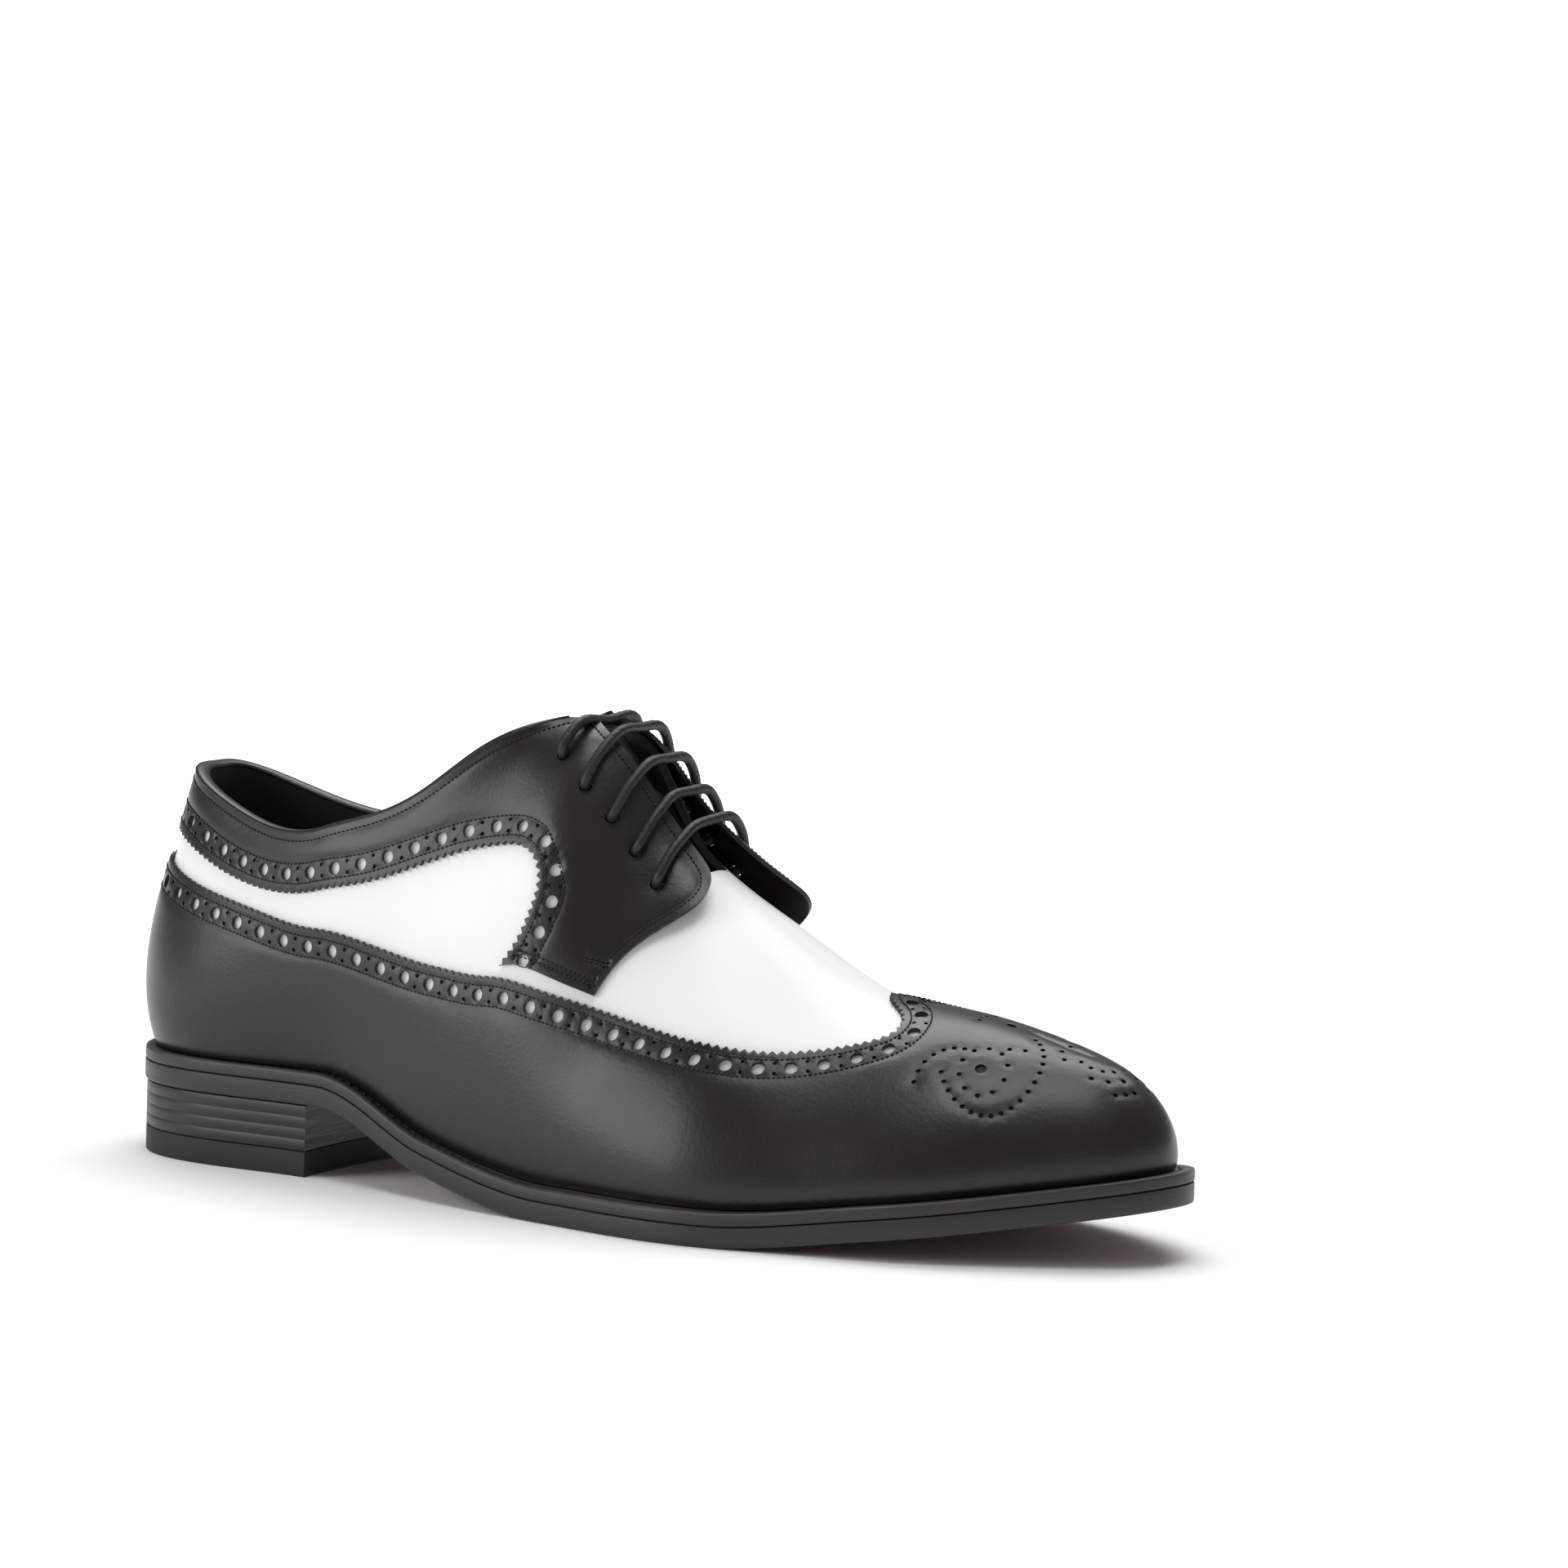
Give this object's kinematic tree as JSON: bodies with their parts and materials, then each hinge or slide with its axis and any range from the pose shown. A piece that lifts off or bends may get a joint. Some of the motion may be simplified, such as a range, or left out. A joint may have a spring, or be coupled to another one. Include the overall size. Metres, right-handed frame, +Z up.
{
  "type": "spectator shoe",
  "caption": "Right longwing derby in black and white calf, with wing cap, laced facings, leather sole, welt and stacked heel. It stands empty on its sole.",
  "frame": {"origin": "centre of the heel's ground face", "axes": "+X to the toe, +Y to the inner side of the foot, +Z up"},
  "size_m": [0.3025, 0.1084, 0.1246],
  "materials": {
    "black_calf": "smooth polished calf",
    "white_calf": "smooth matt calf",
    "sole_leather": "black dyed and waxed edge",
    "top_piece": "matt",
    "lining": "matt lining leather",
    "lace": "waxed round cotton cord"
  },
  "bodies": {
    "root": {"outsole": "sole_leather", "welt": "sole_leather", "heel_stack": "sole_leather", "heel_top_piece": "top_piece", "insole": "lining", "upper": "white_calf", "wing": "black_calf", "quarter_outer": "black_calf", "quarter_inner": "black_calf", "tongue": "black_calf", "lace_bar_1": "lace", "lace_bar_2": "lace", "lace_bar_3": "lace", "lace_bar_4": "lace", "lace_bar_5": "lace"}
  },
  "joints": []
}
